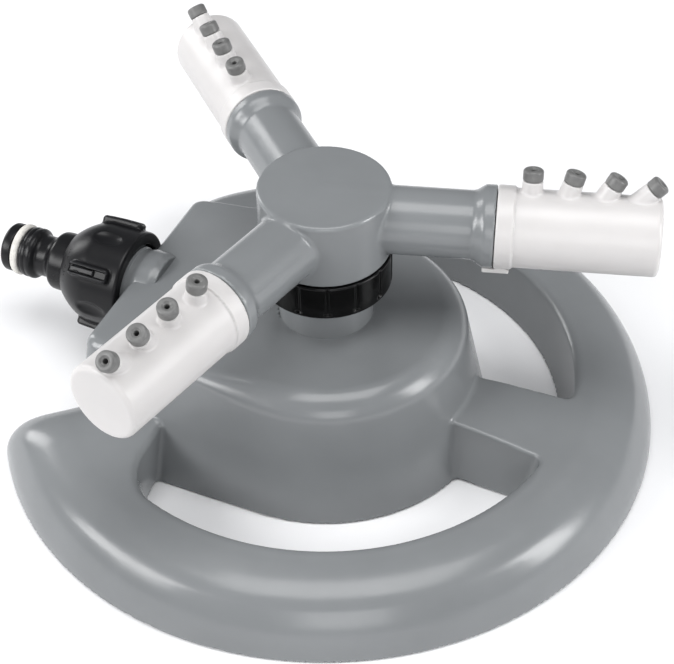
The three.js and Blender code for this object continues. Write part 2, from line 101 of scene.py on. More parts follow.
def joined(a, b, radius=0.0):
    """Inside either, with a fillet between them."""
    return np.maximum(radius, np.minimum(a, b)) - np.hypot(
        np.maximum(radius - a, 0), np.maximum(radius - b, 0))


def rod(reach, along, radius, start, end, edge=0.0):
    """A round bar from start to end; reach is the distance from its axis."""
    return common(reach - radius, np.maximum(start - along, along - end), edge)


def block(u, v, w, half, edge=0.0):
    """A box about the origin of u, v and w, with rounded edges."""
    a, b, c = (np.abs(value) - size + edge for value, size in zip((u, v, w), half))
    outside = np.sqrt(np.maximum(a, 0) ** 2 + np.maximum(b, 0) ** 2 + np.maximum(c, 0) ** 2)
    return outside + np.minimum(np.maximum(a, np.maximum(b, c)), 0) - edge


# ---------------------------------------------------------------- skins
def slopes(field, points, step):
    """The field's gradient at each point."""
    columns = []
    for axis in range(3):
        shift = np.zeros(3)
        shift[axis] = step
        columns.append((field(points + shift) - field(points - shift)) / (2 * step))
    return np.stack(columns, 1)


def skin(field, lowest, highest, cell):
    """Vertices, outward normals and quads of the surface where the field is 0, on a grid of cubes."""
    lowest = np.array(lowest, float) - 1.51 * cell
    counts = np.ceil((np.array(highest) - lowest) / cell).astype(int) + 2
    ticks = [lowest[axis] + cell * np.arange(counts[axis]) for axis in range(3)]
    grid = np.stack(np.meshgrid(*ticks, indexing="ij"), -1).reshape(-1, 3)
    value = np.concatenate([field(part) for part in np.array_split(grid, 1 + len(grid) // 400000)])
    value = value.reshape(counts)
    inside = value < 0

    full = np.zeros(counts - 1, np.int8)
    for i, j, k in itertools.product((0, 1), repeat=3):
        full += inside[i:counts[0] - 1 + i, j:counts[1] - 1 + j, k:counts[2] - 1 + k]
    mixed = (full > 0) & (full < 8)
    cells = np.argwhere(mixed)
    number = np.full(mixed.shape, -1)
    number[mixed] = np.arange(len(cells))

    total = np.zeros((len(cells), 3))
    crossings = np.zeros(len(cells))
    quads = []
    for axis in range(3):
        step = np.eye(3, dtype=int)
        one, two = step[(axis + 1) % 3], step[(axis + 2) % 3]
        for a, b in itertools.product((0, 1), repeat=2):
            corner = a * one + b * two
            start = cells + corner
            here, there = value[tuple(start.T)], value[tuple((start + step[axis]).T)]
            crossed = (here < 0) != (there < 0)
            share = np.where(crossed, here / np.where(crossed, here - there, 1), 0)
            total += crossed[:, None] * (corner + share[:, None] * step[axis])
            crossings += crossed
        ends = [slice(None)] * 3, [slice(None)] * 3
        ends[0][axis], ends[1][axis] = slice(0, -1), slice(1, None)
        edge = np.argwhere(inside[tuple(ends[0])] != inside[tuple(ends[1])])
        quad = np.stack([number[tuple(c.T)] for c in (edge, edge - one, edge - one - two, edge - two)], 1)
        inwards = ~inside[tuple(edge.T)]
        quad[inwards] = quad[inwards][:, ::-1]
        quads.append(quad)

    points = lowest + cell * (cells + total / crossings[:, None])
    for _ in range(4):
        slope = slopes(field, points, 0.02)
        size = np.maximum((slope ** 2).sum(1, keepdims=True), 0.2)
        points -= np.clip(field(points)[:, None] * slope / size, -cell / 2, cell / 2)
    slope = slopes(field, points, 0.05)
    normals = slope / np.maximum(np.linalg.norm(slope, axis=1, keepdims=True), 1e-9)
    return points, normals, np.concatenate(quads)


def turned(profile, segments=72, corner=0.3, steps=3):
    """A closed [radius, distance] outline turned about Z, its corners rounded: vertices, None, quads."""
    outline = []
    count = len(profile)
    for i in range(count):
        before, at, after = (np.array(profile[(i + shift) % count], float) for shift in (-1, 0, 1))
        if at[0] == 0:
            outline.append(at)
            continue
        room = min(corner, 0.45 * np.linalg.norm(before - at), 0.45 * np.linalg.norm(after - at))
        start = at + (before - at) / np.linalg.norm(before - at) * room
        end = at + (after - at) / np.linalg.norm(after - at) * room
        for share in np.linspace(0, 1, steps + 1):
            outline.append((1 - share) ** 2 * start + 2 * share * (1 - share) * at + share ** 2 * end)
    outline = np.array(outline)
    length = len(outline)
    angles = np.arange(segments) * 2 * math.pi / segments
    points = np.stack([np.outer(np.cos(angles), outline[:, 0]), np.outer(np.sin(angles), outline[:, 0]),
                       np.tile(outline[:, 1], (segments, 1))], -1).reshape(-1, 3)
    quads = []
    for i in range(segments):
        following = (i + 1) % segments
        for j in range(length):
            after = (j + 1) % length
            if outline[j][0] == 0 and outline[after][0] == 0:
                continue
            quads.append((i * length + j, following * length + j, following * length + after,
                          i * length + after))
    radii, distances = outline.T
    area = np.sum(radii * np.roll(distances, -1) - np.roll(radii, -1) * distances) / 2
    quads = np.array(quads)
    return points, None, quads if area > 0 else quads[:, ::-1]


def place(shape, matrix):
    """The shape moved by a 4 by 4 matrix."""
    points, normals, quads = shape
    turn, shift = matrix[:3, :3], matrix[:3, 3]
    return points @ turn.T + shift, None if normals is None else normals @ turn.T, quads


def piece(name, shape, body, material, slot, *replaced):
    """A mesh object that rides on a body and stands for the CAD nodes named."""
    points, normals, quads = shape
    mesh = bpy.data.meshes.new(name)
    if normals is None:
        mesh.from_pydata((points * MM).tolist(), [], quads.tolist())
        mesh.validate()
        weld(mesh)
    else:
        mesh.vertices.add(len(points))
        mesh.vertices.foreach_set("co", (points * MM).astype(np.float32).ravel())
        mesh.loops.add(quads.size)
        mesh.loops.foreach_set("vertex_index", quads.astype(np.int32).ravel())
        mesh.polygons.add(len(quads))
        mesh.polygons.foreach_set("loop_start", np.arange(0, quads.size, 4, dtype=np.int32))
        mesh.update(calc_edges=True)
    mesh.polygons.foreach_set("use_smooth", np.ones(len(mesh.polygons), bool))
    if normals is not None:
        mesh.normals_split_custom_set_from_vertices(normals.tolist())
    mesh.materials.append(material)
    made = bpy.data.objects.new(name, mesh)
    bpy.context.scene.collection.objects.link(made)
    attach(made, body)
    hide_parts(*replaced)


def weld(mesh):
    """Joins the vertices that meet on a turning axis and drops the faces that this closes up."""
    work = bmesh.new()
    work.from_mesh(mesh)
    bmesh.ops.remove_doubles(work, verts=work.verts, dist=1e-7)
    bmesh.ops.dissolve_degenerate(work, edges=work.edges, dist=1e-7)
    work.to_mesh(mesh)
    work.free()


def frame_matrix(x_axis, y_axis, z_axis, origin):
    matrix = np.eye(4)
    matrix[:3, :3] = np.stack([x_axis, y_axis, z_axis], 1)
    matrix[:3, 3] = origin
    return matrix


UPRIGHT = np.eye(4)
INLET = frame_matrix((0, 0, 1), (0, -1, 0), (-1, 0, 0), (0, 0, PIPE_Z))    # a turned piece's Z along -X


# ---------------------------------------------------------------- base shell
WALL = 2.4
RING_INNER = 74.6
RING_LEAN = 0.196                # the inner wall leans outwards as it rises
RING_HEIGHT = 21.8
RING_CROWN = 20                  # width of the rounded outer shoulder
RING_POWER = 1.87                # 2 is an ellipse; less is flatter on the slope
END_NORMAL = (-0.658, -0.752)    # plan direction that each end of the ring faces, for +Y
END_REACH = 17.7                 # distance of that end's face from the spin axis
NOSE_RADIUS = 27                 # each end rounds over from the top to the ground
TIP_ROUND = 7
WEB_X = -35.5                    # end wall of the openings, at the ground
SPOKE_MIDDLE = 40                # where the spoke has the two half widths below
SPOKE_FOOT = 14
SPOKE_HEAD = 10.2
TOWER_RADIUS = 51.8
TOWER_DRAFT = 0.21
TOWER_FILLET = 1.6
CHORD_X = -65                    # inlet-side wall of the tower
CHORD_CORNER = 5
LIP_DROP = 0.1                   # share of its height that the tower's top loses towards the inlet
HOOD_TAPER = 0.13                # share of its width that the tower's top loses towards the inlet
SPINE = 23                       # height of the flat where it meets the tower
FEED_SCREWS = [centre(f"feed_screw_{i}") for i in (1, 2, 3)]
BOSS_RADIUS = 4
BOSS_BOTTOM = 33.2
SCREW_BORE = 1.95
PIPE_NOTCH = 7.5                 # clears the pipe inside the tower


def flat_field(x, y, z):
    """The ring with its webs and spoke, as one solid with two C-shaped openings and the inlet notch."""
    side = np.abs(y)
    reach = np.hypot(x, y)
    top = RING_HEIGHT + (SPINE - RING_HEIGHT) * smooth(-reach, -84, -54)
    out = np.maximum(reach - (RING_OUTER - RING_CROWN), 0) / RING_CROWN
    solid = ((out ** RING_POWER + (np.maximum(z, 0) / top) ** RING_POWER) ** (1 / RING_POWER) - 1) * top
    end = END_NORMAL[0] * x + END_NORMAL[1] * side - END_REACH
    solid = common(solid, common(z - top, end, NOSE_RADIUS), TIP_ROUND)
    ring = reach - (RING_INNER + RING_LEAN * z)
    web = WEB_X + 0.03 * z - x
    slant = np.clip(z / SPINE, 0, 1)
    foot = SPOKE_FOOT + 0.035 * (x - SPOKE_MIDDLE)
    head = SPOKE_HEAD + 0.087 * (x - SPOKE_MIDDLE)
    half = foot * (1 - slant) + head * slant
    spoke = np.where(x > 0, half - side, -50)
    opening = common(common(ring, web, 10), spoke, 3)
    edge = 1.2 + 1.6 * smooth(-spoke, 0, 10)
    return common(solid, -opening, edge)


def tower_field(x, y, z):
    """Round towards the spoke and straight towards the inlet, where its top is lower and narrower."""
    inletwards = smooth(-x, 5, 65)
    narrow = 1 - HOOD_TAPER * inletwards * np.clip(z, 0, TOWER_TOP) / TOWER_TOP
    plan = common(np.hypot(np.maximum(x, 0), y / narrow) - TOWER_RADIUS + TOWER_DRAFT * z,
                  CHORD_X - 0.01 * z - x, CHORD_CORNER)
    crown = TOWER_TOP * (1 - LIP_DROP * inletwards)
    rim = np.maximum(7 - 5.2 * smooth(-x, 0, 40), 3.2 * smooth(-x, 50, 62))
    return common(plan, z - crown, rim)


def base_field(p):
    """A shell open at the bottom, with screw bosses inside and holes for the neck and the stub."""
    x, y, z = p.T
    outer = joined(flat_field(x, y, z), tower_field(x, y, z), TOWER_FILLET)
    shell = np.maximum(outer, -(outer + WALL))
    for screw in FEED_SCREWS:
        boss = np.hypot(x - screw[0], y - screw[1])
        shell = joined(shell, np.maximum(rod(boss, z, BOSS_RADIUS, BOSS_BOTTOM, 60, 0.4), outer + 0.6), 0.5)
        shell = np.maximum(shell, -rod(boss, z, SCREW_BORE, 30, 38))
    shell = common(shell, -z, 0.5)
    pipe = np.hypot(y, z - PIPE_Z)
    neck_hole = rod(np.hypot(x, y), z, NECK_RADIUS - 0.5, 34, 60)
    stub_hole = rod(pipe, -x, STUB_HOLE, STUB_START + 0.7, 90)
    holes = np.minimum(np.minimum(neck_hole, stub_hole), rod(pipe, -x, PIPE_NOTCH, 0, 58))
    return np.maximum(shell, -holes)


def build_base(material):
    shape = skin(base_field, low("base_shell"), high("base_shell"), 1.0)
    piece("base_moulding", shape, "base", material, "grey_plastic", "base_shell")


# ---------------------------------------------------------------- feed body
FOOT_RADIUS = 9
PLATE_RADIUS = 26                # the disc that the feed screws pass through
PLATE_BOTTOM, PLATE_TOP = 29.2, 32.85
NECK_RADIUS = 14.6
NECK_TOP = 55.5
SPINDLE_RADIUS = 10.8
SPINDLE_GROOVES = ((60.25, 62.35, 9.8), (66.7, 69.3, 8.7))    # bottom, top and floor radius
PIPE_RADIUS = 7.2
STUB_START = 56.5
STUB_RADIUS = 11.8
STUB_HOLE = 9.5
THREAD_RADIUS = 12.45
THREAD_PITCH = 1.814
BORE = 5.5


def feed_field(p):
    x, y, z = p.T
    reach = np.hypot(x, y)
    pipe, along = np.hypot(y, z - PIPE_Z), -x
    plate = rod(reach, z, PLATE_RADIUS, PLATE_BOTTOM, PLATE_TOP, 0.5)
    body = joined(rod(reach, z, FOOT_RADIUS, 0, 40, 0.6), plate, 1)
    body = joined(body, rod(reach, z, NECK_RADIUS, 30, NECK_TOP, 0.6), 0.8)
    body = joined(body, rod(reach, z, SPINDLE_RADIUS, 40, SPINDLE_TOP, 0.6), 0.4)
    body = joined(body, rod(pipe, along, PIPE_RADIUS, 0, STUB_START + 2), 1)
    body = joined(body, rod(pipe, along, STUB_RADIUS - 0.3, STUB_START, STUB_END - 0.6, 0.5), 0.3)
    body = joined(body, rod(pipe, along, STUB_RADIUS + 0.35, STUB_START, UNION_BACK - 1, 3), 0.5)
    for groove_low, groove_high, floor in SPINDLE_GROOVES:
        body = np.maximum(body, -np.maximum(floor - reach, np.maximum(groove_low - z, z - groove_high)))
    bores = np.minimum(rod(reach, z, BORE, PIPE_Z - 4, 90), rod(pipe, along, BORE, 0, 90))
    for screw in FEED_SCREWS:
        bores = np.minimum(bores, rod(np.hypot(x - screw[0], y - screw[1]), z, SCREW_BORE, 20, 40))
    return common(body, -bores, 0.3)


def threaded_sleeve():
    """The stub's outer end with its helical thread, as a closed tube."""
    segments, start = 96, UNION_BACK - 1.2
    distances = np.arange(start, STUB_END, 0.26)
    angles = np.arange(segments) * 2 * math.pi / segments
    rings = []
    for distance in distances:
        phase = distance / THREAD_PITCH - angles / (2 * math.pi)
        ridge = 0.5 + 0.5 * np.cos(2 * math.pi * phase)
        fade = smooth(distance, start, start + 2.2) * smooth(-distance, -STUB_END, -STUB_END + 1.4)
        radius = STUB_RADIUS - 0.35 + (THREAD_RADIUS - STUB_RADIUS + 0.35) * ridge ** 0.7 * fade
        rings.append(np.stack([radius * np.cos(angles), radius * np.sin(angles),
                               np.full(segments, distance)], 1))
    for distance in (STUB_END, start):
        inner = STUB_RADIUS - 2
        rings.append(np.stack([inner * np.cos(angles), inner * np.sin(angles),
                               np.full(segments, distance)], 1))
    quads = []
    for level in range(len(rings)):
        above = (level + 1) % len(rings)
        for i in range(segments):
            after = (i + 1) % segments
            quads.append((level * segments + i, level * segments + after, above * segments + after,
                          above * segments + i))
    return np.concatenate(rings), None, np.array(quads)


def build_feed(material, screw_material):
    shape = skin(feed_field, low("feed_body"), high("feed_body"), 0.8)
    piece("feed_moulding", shape, "base", material, "grey_plastic", "feed_body")
    piece("inlet_thread", place(threaded_sleeve(), INLET), "base", material, "grey_plastic", "feed_body")
    for i, screw in enumerate(FEED_SCREWS):
        bottom, top = low(f"feed_screw_{i + 1}")[2], high(f"feed_screw_{i + 1}")[2]
        profile = [(0, bottom + 1.2), (1.1, bottom + 1.2), (1.3, bottom), (2.2, bottom), (3.1, bottom + 1),
                   (3.1, bottom + 2.2), (1.6, bottom + 2.4), (1.6, top - 1), (0, top)]
        spot = UPRIGHT.copy()
        spot[:2, 3] = screw[:2]
        shape = place(turned(profile, 32, 0.25), spot)
        piece(f"screw_{i + 1}", shape, "base", screw_material, "steel", f"feed_screw_{i + 1}")


# ---------------------------------------------------------------- rotating head
HUB_RADIUS = 20
HUB_BOTTOM = 67.8
SKIRT_RADIUS = 17.2
SKIRT_BOTTOM = low("rotor_hub")[2]
SPINDLE_GAP = 0.5
ARM_RADIUS = 10.25
ARM_BORE = 6.8
FLARE_START, FLARE_END = 43.6, 47.8
FLANGE_RADIUS = 12.25
FLANGE_END = 50.5
SPIGOT_RADIUS = 9.4
SPIGOT_END = 64
SEAL_AT = (FLANGE_END + SPIGOT_END) / 2
SEAL_FLOOR = 7.7
SEAL_HALF = 1.2
ARM_AXES = {i: np.array(JOINTS[f"sleeve_turn_{i}"]["axis"], float) for i in ARMS}


def arm_frame(i):
    """Matrix of arm i's own frame: X out along the arm and Z towards its upright first jet."""
    outwards = ARM_AXES[i]
    towards = centre(f"nozzle_tip_{i}_1") - (0, 0, ARM_Z)
    up = towards - towards.dot(outwards) * outwards
    up /= np.linalg.norm(up)
    return frame_matrix(outwards, np.cross(up, outwards), up, (0, 0, ARM_Z))


def hub_field(p):
    """A drum with a skirt, three flanged arms with their spigots, and the bores that join them."""
    x, y, z = p.T
    reach = np.hypot(x, y)
    body = rod(reach, z, HUB_RADIUS, HUB_BOTTOM, HUB_TOP, 1.1)
    body = joined(body, rod(reach, z, SKIRT_RADIUS, SKIRT_BOTTOM, HUB_BOTTOM + 1, 0.3), 0.2)
    bores = rod(reach, z, SPINDLE_RADIUS + SPINDLE_GAP, 50, ARM_Z + ARM_BORE)
    for axis in ARM_AXES.values():
        along = x * axis[0] + y * axis[1]
        off = np.hypot(x * axis[1] - y * axis[0], z - ARM_Z)
        flare = ARM_RADIUS + (FLANGE_RADIUS - ARM_RADIUS) * smooth(along, FLARE_START, FLARE_END)
        arm = common(off - flare, np.maximum(-along, along - FLANGE_END), 0.5)
        arm = joined(arm, rod(off, along, SPIGOT_RADIUS, 30, SPIGOT_END, 0.5), 0.2)
        arm = np.maximum(arm, -np.maximum(SEAL_FLOOR - off, np.abs(along - SEAL_AT) - SEAL_HALF))
        body = joined(body, arm, 1.0)
        bores = np.minimum(bores, rod(off, along, ARM_BORE, 5, 80))
    return common(body, -bores, 0.4)


def build_hub(material):
    shape = skin(hub_field, low("rotor_hub"), high("rotor_hub"), 0.75)
    piece("hub_moulding", shape, "head", material, "grey_plastic", "rotor_hub")


# ---------------------------------------------------------------- nut under the head
FLUTES = 14
FLUTE_RADIUS = 0.75
FLUTE_BOTTOM = NUT_BOTTOM + 1.5
SCOOP_HEIGHT = NUT_BOTTOM + 1.8  # middle of the small hollow at the foot of each flute
SCOOP_WIDEN = 1.7


def head_nut_field(p):
    """A ring with narrow upright flutes, each ending in a small hollow."""
    x, y, z = p.T
    reach = np.hypot(x, y)
    body = common(reach - NUT_RADIUS, np.maximum(NUT_BOTTOM - z, z - NUT_TOP), 0.55)
    pitch = 2 * math.pi / FLUTES
    turn = np.mod(np.arctan2(y, x), pitch) - pitch / 2
    sideways = turn * reach
    groove = common(np.hypot(sideways, reach - NUT_RADIUS - 0.35) - FLUTE_RADIUS, FLUTE_BOTTOM - z, 0.3)
    scoop = np.sqrt((sideways / SCOOP_WIDEN) ** 2 + (reach - NUT_RADIUS - 0.15) ** 2
                    + (z - SCOOP_HEIGHT) ** 2) - 0.8
    body = common(body, -np.minimum(groove, scoop), 0.2)
    bores = np.minimum(rod(reach, z, SPINDLE_RADIUS + SPINDLE_GAP, 40, 80),
                       rod(reach, z, SKIRT_RADIUS + 0.3, low("thrust_washer")[2] - 0.35, 80))
    return common(body, -bores, 0.3)


def build_head_fixings(black, white, rubber):
    shape = skin(head_nut_field, low("head_nut"), high("head_nut"), 0.42)
    piece("nut_under_head", shape, "head", black, "black_plastic", "head_nut")
    bottom, top = low("thrust_washer")[2], high("thrust_washer")[2]
    washer = turned([(11.2, bottom), (15.2, bottom), (15.2, top), (11.2, top)], 72, 0.2)
    piece("washer", washer, "head", white, "acetal", "thrust_washer")
    piece("clip", split_ring(10.2, 15.4, low("retaining_clip")[2], high("retaining_clip")[2], 20),
          "base", white, "acetal", "retaining_clip")
    seal = turned(seal_section(9.97, 0.93, centre("spindle_seal")[2]), 64, 0.1)
    piece("spindle_ring", seal, "base", rubber, "black_rubber", "spindle_seal")


def seal_section(radius, thickness, at):
    angles = np.arange(14) * 2 * math.pi / 14
    return [(radius + thickness * math.cos(a), at + thickness * math.sin(a)) for a in angles]


def split_ring(inner, outer, bottom, top, gap_degrees):
    """A flat ring, open towards +X."""
    angles = np.radians(np.linspace(gap_degrees, 360 - gap_degrees, 64))
    section = [(inner, bottom + 0.15), (inner + 0.15, bottom), (outer - 0.2, bottom), (outer, bottom + 0.2),
               (outer, top - 0.2), (outer - 0.2, top), (inner + 0.15, top), (inner, top - 0.15)]
    count = len(section)
    points = [(r * math.cos(a), r * math.sin(a), z) for a in angles for r, z in section]
    quads = []
    for i in range(len(angles) - 1):
        for j in range(count):
            after = (j + 1) % count
            quads.append((i * count + j, (i + 1) * count + j, (i + 1) * count + after, i * count + after))
    last = (len(angles) - 1) * count
    for first in (0, last):
        for a, b, c, d in ((0, 1, 6, 7), (1, 2, 5, 6), (2, 3, 4, 5)):
            face = (first + a, first + b, first + c, first + d)
            quads.append(face if first == 0 else face[::-1])
    return np.array(points), None, np.array(quads)


# ---------------------------------------------------------------- sleeves and their nozzle tips
SLEEVE_RADIUS = 11.75
SLEEVE_BORE = 9.8
SLEEVE_START = FLANGE_END + 0.2
SLEEVE_END = 98.4
COLLAR_RADIUS = 12.35
COLLAR_WIDTH = 5.2
JET_TILT = 14.5                  # degrees that each jet leans further out than the one before
STALK_HEIGHT = 3.5
STALK_RADIUS = 3.0
STALK_BORE = 2
HOOK_HALF = (4.0, 2.6, 0.72)     # half sizes of the snap hook's tongue, along, across and through
HOOK_DROP = 13.3                 # from the arm's axis down to the tongue
HOOK_ROOT_HALF = (1.6, 2.6, 1.2)
HOOK_ROOT_DROP = 12.4
TIP_RADIUS = 3.0
TIP_HEIGHT = 3.35


def jet_seats():
    """Where each jet's axis meets the sleeve's wall, along the arm, and its tilt, from the first arm."""
    inverse = np.linalg.inv(arm_frame(1))
    found = []
    for jet in JETS:
        local = inverse[:3, :3] @ centre(f"nozzle_tip_1_{jet}") + inverse[:3, 3]
        tilt = math.radians(JET_TILT * (jet - 1))
        found.append((local[0] - (local[2] - SLEEVE_RADIUS) * math.tan(tilt), tilt))
    return found


JET_SEATS = jet_seats()


def sleeve_field(p):
    """A tube closed at its outer end, with a collar, a snap hook below and a row of stalks on top."""
    x, y, z = p.T
    off = np.hypot(y, z)
    body = rod(off, x, SLEEVE_RADIUS, SLEEVE_START, SLEEVE_END, 1.5)
    body = joined(body, rod(off, x, COLLAR_RADIUS, SLEEVE_START, SLEEVE_START + COLLAR_WIDTH, 0.45), 0.3)
    body = joined(body, block(x - SLEEVE_START - 0.6, y, z + HOOK_DROP, HOOK_HALF, 0.35))
    body = joined(body, block(x - SLEEVE_START - 1.9, y, z + HOOK_ROOT_DROP, HOOK_ROOT_HALF, 0.3))
    bores = rod(off, x, SLEEVE_BORE, 20, SLEEVE_END - 2)
    for seat, tilt in JET_SEATS:
        rise = (x - seat) * math.sin(tilt) + (z - SLEEVE_RADIUS) * math.cos(tilt)
        across = (x - seat) * math.cos(tilt) - (z - SLEEVE_RADIUS) * math.sin(tilt)
        from_axis = np.hypot(across, y)
        taper = STALK_RADIUS + 0.05 * (STALK_HEIGHT - rise)
        stalk = common(from_axis - taper, np.maximum(-3 - rise, rise - STALK_HEIGHT), 0.25)
        body = joined(body, stalk, 0.7)
        bores = np.minimum(bores, rod(from_axis, rise, STALK_BORE, -5.5, 12))
    return common(body, -bores, 0.2)


def tip_profile():
    """A nozzle tip, from the plug inside its stalk to the dished outlet."""
    foot = STALK_HEIGHT + 0.12
    top = foot + TIP_HEIGHT
    return [(0.75, foot - 2.6), (1.5, foot - 2.6), (1.5, foot), (TIP_RADIUS - 0.15, foot),
            (TIP_RADIUS, foot + 0.3), (TIP_RADIUS, top - 0.5), (TIP_RADIUS - 0.5, top), (1.5, top),
            (1.15, top - 0.35), (0.75, top - 0.5)]


def build_sleeves(white, rubber, seal_rubber):
    sleeve = skin(sleeve_field, (46, -12.4, -14.1), (SLEEVE_END, 12.4, 15.4), 0.58)
    seal = turned(seal_section(8.75, 0.7, SEAL_AT), 56, 0.1)
    along_x = frame_matrix((0, 0, 1), (0, 1, 0), (1, 0, 0), (0, 0, 0))
    along_x[:3, 1] = -along_x[:3, 1]
    tip = turned(tip_profile(), 40, 0.3)
    for i in ARMS:
        own = arm_frame(i)
        body = f"sleeve_{i}"
        piece(f"sleeve_moulding_{i}", place(sleeve, own), body, white, "white_plastic",
              f"nozzle_sleeve_{i}")
        piece(f"spigot_ring_{i}", place(seal, own @ along_x), "head", seal_rubber, "black_rubber",
              f"arm_seal_{i}")
        for jet, (seat, tilt) in zip(JETS, JET_SEATS):
            lean = frame_matrix((math.cos(tilt), 0, -math.sin(tilt)), (0, 1, 0),
                                (math.sin(tilt), 0, math.cos(tilt)), (seat, 0, SLEEVE_RADIUS))
            piece(f"tip_{i}_{jet}", place(tip, own @ lean), body, rubber, "nozzle_rubber",
                  f"nozzle_tip_{i}_{jet}")


# ---------------------------------------------------------------- hose connector
UNION_RADIUS = 16.8
UNION_BORE = 12.9
FLANGE_THICKNESS = 2.7           # of the nipple's flange inside the nut
UNION_NOSE_BORE = 10.05          # round the hose nipple
NOSE_START = 79                  # from here the nut closes in towards the hose
NOSE_LENGTH = 12
NOSE_DROP = 6.3
GRIP_HALF = 2.3
GRIP_HEIGHT = 2.0
GRIP_LENGTH_HALF = 7.3
SLOT_HALF = (6.7, 1.25, 1.3)     # half sizes along the nut, across and inwards
KEY_HALF = (4.2, 0.8, 0.8)
DENT_HALF = (6.2, 3.3, 2.2)
GRIP_TURN = math.radians(49)     # from upright to the first of the four grips


def union_nut_field(p):
    """A round-nosed nut with four slotted grips and a shallow dent between each two."""
    x, y, z = p.T
    height = z - PIPE_Z
    along = -x
    off = np.hypot(y, height)
    nose = np.clip((along - NOSE_START) / NOSE_LENGTH, 0, 1.1)
    shape = UNION_RADIUS - NOSE_DROP * nose ** 1.9
    lean = np.sqrt(1 + (1.3 * nose ** 1.5) ** 2)
    body = common((off - shape) / lean, np.maximum(UNION_BACK - along, along - UNION_FRONT), 0.9)
    middle = UNION_BACK + 10.3
    angle = np.arctan2(height, y) - GRIP_TURN
    quarter = np.mod(angle + math.pi / 4, math.pi / 2) - math.pi / 4
    rise, sideways = off * np.cos(quarter), off * np.sin(quarter)
    pad_top = UNION_RADIUS + GRIP_HEIGHT - 0.05 * np.maximum(along - middle, 0)
    pad = common(np.abs(sideways) - GRIP_HALF, rise - pad_top, 0.8)
    pad = common(pad, np.abs(along - middle) - GRIP_LENGTH_HALF, 1.6)
    pad = np.maximum(pad, 14 - rise)
    body = joined(body, pad, 0.7)
    slot = block(along - middle - 0.3, sideways, rise - pad_top, SLOT_HALF, 0.35)
    body = common(body, -slot, 0.25)
    key = block(along - middle - 2.1, sideways, rise - pad_top + 1.25, KEY_HALF, 0.2)
    body = np.minimum(body, key)
    between = np.mod(angle, math.pi / 2) - math.pi / 4
    dent = np.sqrt(((along - middle + 1) / DENT_HALF[0]) ** 2 + (off * between / DENT_HALF[1]) ** 2
                   + ((off - UNION_RADIUS - 1.1) / DENT_HALF[2]) ** 2) - 1
    body = common(body, -dent * DENT_HALF[2], 0.3)
    bores = np.minimum(rod(off, along, UNION_BORE, 50, NIPPLE_BACK + FLANGE_THICKNESS + 0.35),
                       rod(off, along, UNION_NOSE_BORE, 50, 120))
    return common(body, -bores, 0.4)


def nipple_profile():
    """From the flange held by the union nut, over the collar and the neck, to the hose end."""
    back = NIPPLE_BACK
    flange = back + FLANGE_THICKNESS
    return [(4.5, back + 1.8), (8.4, back + 1.8), (8.4, back), (12.55, back), (12.55, flange),
            (9.75, flange), (9.75, 91.4), (9.75, 94.2), (9.65, 95.7), (9.2, 96.5), (8.0, 97.3),
            (7.2, 98.1), (6.85, 99.1), (6.8, 101.9), (7.0, 102.6), (7.7, 103.1), (8.35, 103.8), (8.5, 104.6),
            (8.35, 105.4), (8.2, 105.7), (8.4, 106.1), (8.4, 106.9), (8.15, 107.3), (8.15, 108.2),
            (6.3, 108.3), (6.3, 111.3), (8.05, 111.4), (8.05, NIPPLE_END - 0.9), (7.3, NIPPLE_END),
            (5.4, NIPPLE_END), (4.6, NIPPLE_END - 1.1)]


def build_connector(black, white_rubber, black_rubber):
    shape = skin(union_nut_field, low("union_nut"), high("union_nut"), 0.42)
    piece("union_moulding", shape, "nut", black, "black_plastic", "union_nut")
    shape = place(turned(nipple_profile(), 84, 0.35), INLET)
    piece("nipple_moulding", shape, "connector", black, "black_plastic", "hose_nipple")
    middle = -centre("nipple_seal")[0]
    ring = [(6.5, middle - 1.25), (8.15, middle - 1.25), (8.62, middle - 0.6), (8.62, middle + 0.6),
            (8.15, middle + 1.25), (6.5, middle + 1.25)]
    ring = turned(ring, 72, 0.6)
    piece("nipple_ring", place(ring, INLET), "connector", white_rubber, "white_rubber", "nipple_seal")
    back, front = -high("union_washer")[0], -low("union_washer")[0]
    washer = turned([(7, back), (12.2, back), (12.2, front), (7, front)], 64, 0.25)
    piece("flat_washer", place(washer, INLET), "connector", black_rubber, "black_rubber", "union_washer")


